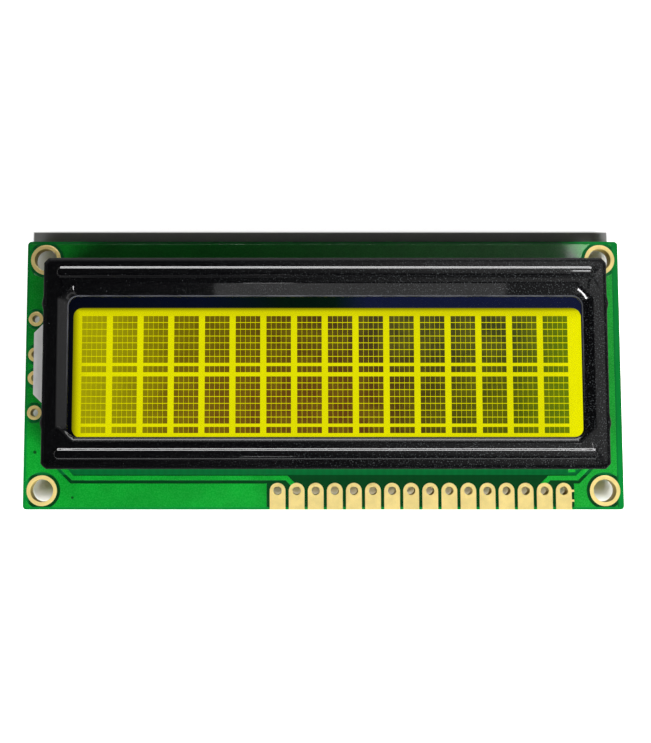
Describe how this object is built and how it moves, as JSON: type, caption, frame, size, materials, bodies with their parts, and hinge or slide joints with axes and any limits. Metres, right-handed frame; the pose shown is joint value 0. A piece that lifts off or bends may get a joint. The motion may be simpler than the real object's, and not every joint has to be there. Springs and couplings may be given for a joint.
{
  "type": "character lcd module",
  "caption": "Two-line character display module with a black stamped bezel, lit yellow screen of dot cells and a green circuit board with a row of header pads.",
  "frame": {"origin": "under the middle of the circuit board, level with the tips of the bezel's twist tabs, on which the module rests", "axes": "+Z out of the screen, +X to the reader's right along the 80 mm side, +Y from the header edge to the far edge"},
  "size_m": [0.08, 0.036, 0.0123],
  "materials": {
    "board": "satin",
    "masked_copper": "satin",
    "gold_plating": "satin",
    "bezel_paint": "gloss",
    "glass": "polished",
    "polarizer": "gloss",
    "seal": "matte",
    "dots": "matte",
    "black_tape": "matte",
    "elastomer": "matte",
    "diffuser": "matte",
    "acrylic": "polished",
    "white_film": "matte",
    "white_plastic": "satin",
    "lamp_laminate": "matte",
    "lamp_resin": "gloss",
    "tinned_wire": "satin",
    "solder": "satin",
    "epoxy": "satin",
    "silicon": "polished",
    "resistor_body": "satin",
    "capacitor_body": "satin"
  },
  "bodies": {
    "root": {"circuit_board": "board", "front_copper": "masked_copper", "back_copper": "masked_copper", "header_pads": "gold_plating", "mounting_hole_rings": "gold_plating", "side_pads": "gold_plating", "contact_fingers": "gold_plating", "bezel": "bezel_paint", "front_polarizer": "polarizer", "front_glass": "glass", "cell_seal": "seal", "liquid_crystal_dots": "dots", "rear_glass": "glass", "rear_polarizer": "polarizer", "rim_tape": "black_tape", "far_contact_strip": "elastomer", "near_contact_strip": "elastomer", "diffuser_sheet": "diffuser", "light_guide": "acrylic", "reflector_film": "white_film", "backlight_frame": "white_plastic", "lamp_board": "lamp_laminate", "lamps": "lamp_resin", "backlight_leads": "tinned_wire", "lead_joints": "solder", "controller_cap": "epoxy", "driver_cap": "epoxy", "controller_chip": "silicon", "driver_chip": "silicon", "chip_resistors": "resistor_body", "chip_capacitors": "capacitor_body", "chip_end_caps": "solder"}
  },
  "joints": []
}
